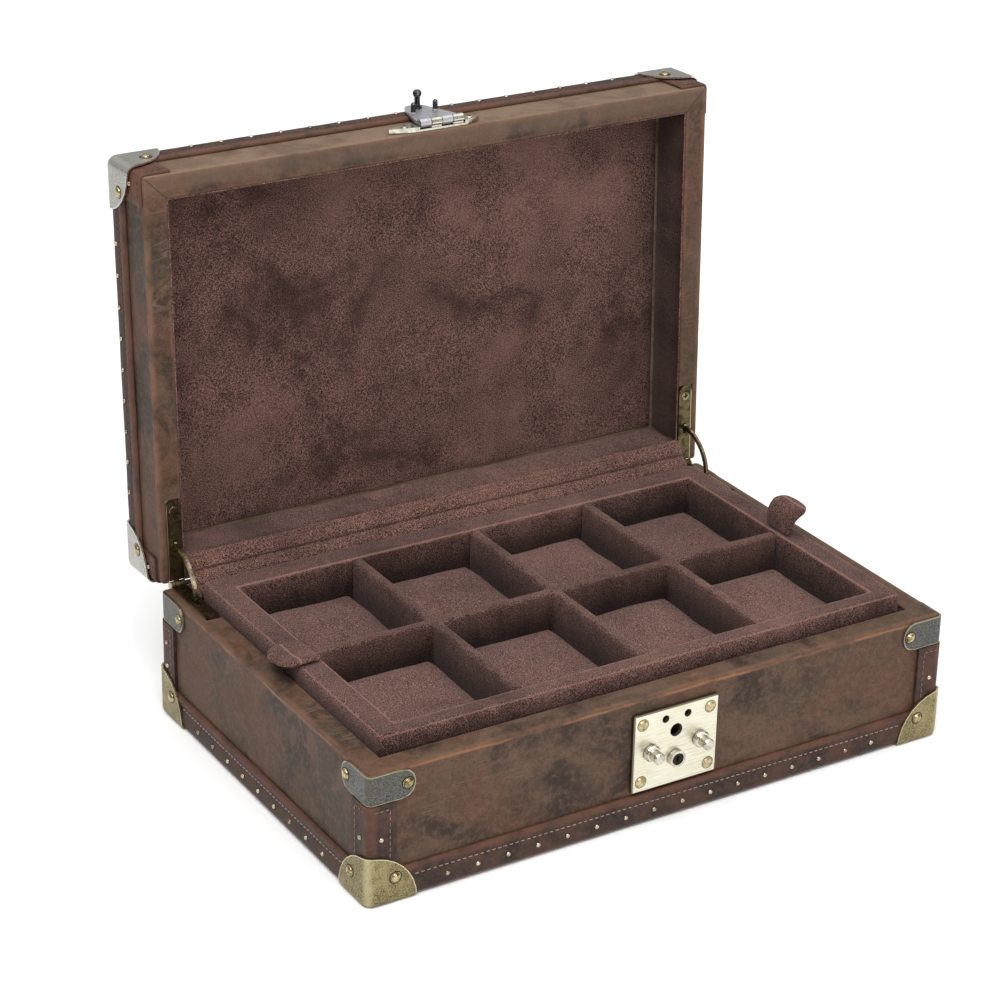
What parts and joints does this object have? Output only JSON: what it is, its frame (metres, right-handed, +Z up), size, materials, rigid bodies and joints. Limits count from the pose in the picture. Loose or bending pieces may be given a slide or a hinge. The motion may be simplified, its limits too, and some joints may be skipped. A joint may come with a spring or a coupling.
{
  "type": "watch box",
  "caption": "Leather-covered watch box with an open hinged lid on stays, a hasp lock and a lift-out tray of cushioned compartments.",
  "frame": {"origin": "centre of the underside, where the felt pad rests", "axes": "+X to the right along the front, +Y towards the hinges, +Z up"},
  "size_m": [0.3264, 0.2627, 0.2899],
  "materials": {
    "leather": "distressed dark brown grain leather",
    "strip": "matt red-brown leather",
    "board": "plain unfinished board",
    "suede": "napped mauve-brown suede",
    "felt": "dark felt",
    "cap_brass": "speckled antique brass",
    "pewter": "antique pewter plate",
    "hinge_brass": "dark antique brass",
    "lock_plate": "pale satin plate",
    "lock_steel": "plain steel",
    "nickel": "bright nickel",
    "hasp_grey": "matt grey steel"
  },
  "bodies": {
    "base": {"base_front_wall": "board", "base_back_wall": "board", "base_left_wall": "board", "base_right_wall": "board", "base_floor_panel": "board", "base_leather_cover": "leather", "base_lining": "suede", "underside_pad": "felt", "base_edge_binding": "strip", "base_corner_strip_front_left": "strip", "base_corner_strip_front_right": "strip", "base_corner_strip_back_left": "strip", "base_corner_strip_back_right": "strip", "base_corner_cap_front_left": "cap_brass", "base_corner_cap_front_right": "cap_brass", "base_corner_cap_back_left": "cap_brass", "base_corner_cap_back_right": "cap_brass", "base_rim_bracket_front_left": "pewter", "base_rim_bracket_front_right": "pewter", "base_rim_bracket_back_left": "pewter", "base_rim_bracket_back_right": "pewter", "lock_plate": "lock_plate", "lock_case": "lock_steel", "lock_key_barrel": "lock_plate", "hinge_base_leaf_left": "hinge_brass", "hinge_base_leaf_right": "hinge_brass"},
    "lid": {"lid_front_wall": "board", "lid_back_wall": "board", "lid_left_wall": "board", "lid_right_wall": "board", "lid_top_panel": "board", "lid_leather_cover": "leather", "lid_lining": "suede", "lid_edge_binding": "strip", "lid_corner_cap_front_left": "pewter", "lid_corner_cap_front_right": "pewter", "lid_corner_cap_back_left": "pewter", "lid_corner_cap_back_right": "pewter", "hinge_lid_leaf_left": "hinge_brass", "hinge_lid_leaf_right": "hinge_brass", "hasp_bracket": "nickel"},
    "stay_left": {"hinge_stay_left": "hinge_brass"},
    "stay_right": {"hinge_stay_right": "hinge_brass"},
    "hasp": {"hasp_leaf": "hasp_grey", "hasp_post": "nickel"},
    "knob_left": {"lock_knob_left": "nickel"},
    "knob_right": {"lock_knob_right": "nickel"},
    "key_plug": {"lock_key_plug": "lock_steel"},
    "tray": {"tray_frame": "suede", "tray_dividers": "suede", "tray_pull_tab_left": "suede", "tray_pull_tab_right": "suede"},
    "cushion_1": {"watch_cushion_1": "suede"},
    "cushion_2": {"watch_cushion_2": "suede"},
    "cushion_3": {"watch_cushion_3": "suede"},
    "cushion_4": {"watch_cushion_4": "suede"},
    "cushion_5": {"watch_cushion_5": "suede"},
    "cushion_6": {"watch_cushion_6": "suede"},
    "cushion_7": {"watch_cushion_7": "suede"},
    "cushion_8": {"watch_cushion_8": "suede"}
  },
  "joints": [
    {"name": "lid_hinge", "type": "hinge", "parent": "base", "child": "lid", "pos_m": [0, 0.1053, 0.0678], "axis": [-1, 0, 0], "range_deg": [-92, 0], "deforming": ["tray_pull_tab_left", "tray_pull_tab_right"]},
    {"name": "stay_left_turn", "type": "hinge", "parent": "lid", "child": "stay_left", "pos_m": [-0.1522, 0.10693, 0.08876], "axis": [-1, 0, 0], "range_deg": [0, 22.5]},
    {"name": "stay_right_turn", "type": "hinge", "parent": "lid", "child": "stay_right", "pos_m": [0.1522, 0.10693, 0.08876], "axis": [-1, 0, 0], "range_deg": [0, 22.5]},
    {"name": "hasp_hinge", "type": "hinge", "parent": "lid", "child": "hasp", "pos_m": [0.0021, 0.11593, 0.28066], "axis": [-1, 0, 0], "range_deg": [-180, 0]},
    {"name": "tray_lift", "type": "slide", "parent": "base", "child": "tray", "axis": [0, 0, 1], "range_m": [0, 0.06]},
    {"name": "knob_left_slide", "type": "slide", "parent": "base", "child": "knob_left", "axis": [-1, 0, 0], "range_m": [0, 0.0025], "stiffness_N_per_m": 300},
    {"name": "knob_right_slide", "type": "slide", "parent": "base", "child": "knob_right", "axis": [1, 0, 0], "range_m": [0, 0.0025], "stiffness_N_per_m": 300},
    {"name": "key_turn", "type": "hinge", "parent": "base", "child": "key_plug", "pos_m": [0.0021, -0.1066, 0.0325], "axis": [0, -1, 0], "range_deg": [0, 90]},
    {"name": "cushion_1_lift", "type": "slide", "parent": "tray", "child": "cushion_1", "axis": [0, 0, 1], "range_m": [0, 0.03]},
    {"name": "cushion_2_lift", "type": "slide", "parent": "tray", "child": "cushion_2", "axis": [0, 0, 1], "range_m": [0, 0.03]},
    {"name": "cushion_3_lift", "type": "slide", "parent": "tray", "child": "cushion_3", "axis": [0, 0, 1], "range_m": [0, 0.03]},
    {"name": "cushion_4_lift", "type": "slide", "parent": "tray", "child": "cushion_4", "axis": [0, 0, 1], "range_m": [0, 0.03]},
    {"name": "cushion_5_lift", "type": "slide", "parent": "tray", "child": "cushion_5", "axis": [0, 0, 1], "range_m": [0, 0.03]},
    {"name": "cushion_6_lift", "type": "slide", "parent": "tray", "child": "cushion_6", "axis": [0, 0, 1], "range_m": [0, 0.03]},
    {"name": "cushion_7_lift", "type": "slide", "parent": "tray", "child": "cushion_7", "axis": [0, 0, 1], "range_m": [0, 0.03]},
    {"name": "cushion_8_lift", "type": "slide", "parent": "tray", "child": "cushion_8", "axis": [0, 0, 1], "range_m": [0, 0.03]}
  ],
  "couplings": [
    {"joint": "stay_left_turn", "follows": "lid_hinge", "ratio": -0.23913},
    {"joint": "stay_right_turn", "follows": "lid_hinge", "ratio": -0.23913}
  ]
}
